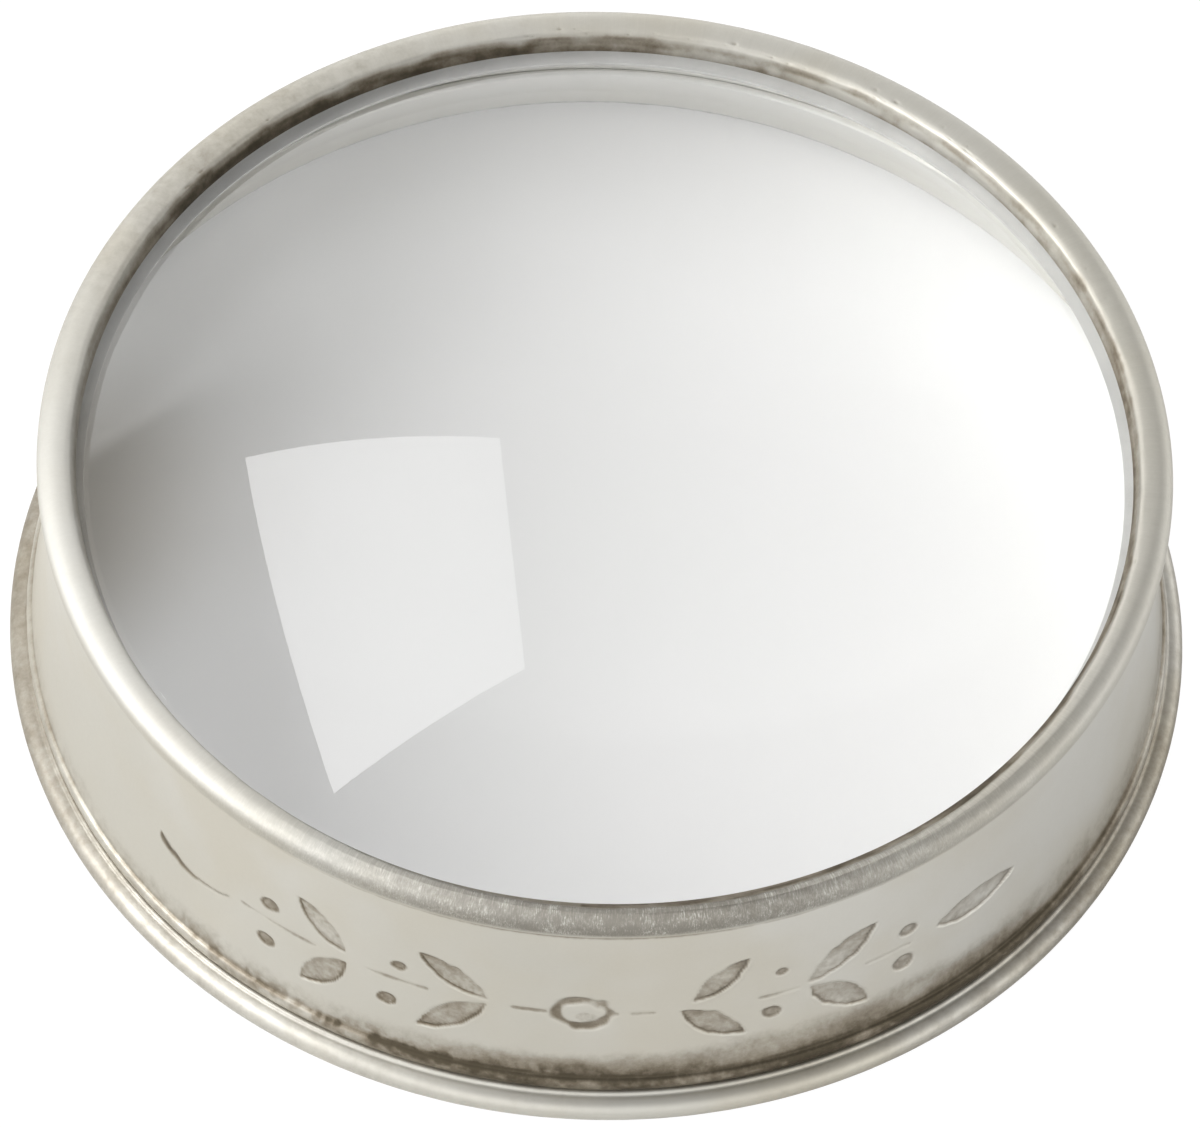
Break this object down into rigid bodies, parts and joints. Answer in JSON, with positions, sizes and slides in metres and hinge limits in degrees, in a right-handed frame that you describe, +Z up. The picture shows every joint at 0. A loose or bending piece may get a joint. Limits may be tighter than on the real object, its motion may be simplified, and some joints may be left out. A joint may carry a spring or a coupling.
{
  "type": "stand magnifier",
  "caption": "Round desk magnifier: a domed glass lens in a low flared pewter ring frame that stands on the page, with a felt foot.",
  "frame": {"origin": "centre of the underside, on the surface that the magnifier stands on", "axes": "+Z up along the axis of the lens and frame; the middle of the front leaf sprig faces -Y"},
  "size_m": [0.1, 0.1, 0.035],
  "materials": {
    "lens_glass": "clear polished glass with a narrow ground bevel",
    "rim_pewter": "satin pewter, hand burnished, dark patina at the lens",
    "wall_pewter": "satin pewter with an engraved and darkened leaf sprig, brown patina at the hem",
    "foot_pewter": "satin pewter, smooth bead with brown patina above it",
    "seat_pewter": "pale matt pewter, brushed and unpolished",
    "bedding_rubber": "pale grey silicone rubber, matt",
    "felt": "pale grey pressed wool felt"
  },
  "bodies": {
    "root": {"dome_lens": "lens_glass", "rim_band": "rim_pewter", "flared_wall": "wall_pewter", "foot_ring": "foot_pewter", "lens_seat_ring": "seat_pewter", "lens_bedding_ring": "bedding_rubber", "felt_ring": "felt"}
  },
  "joints": []
}
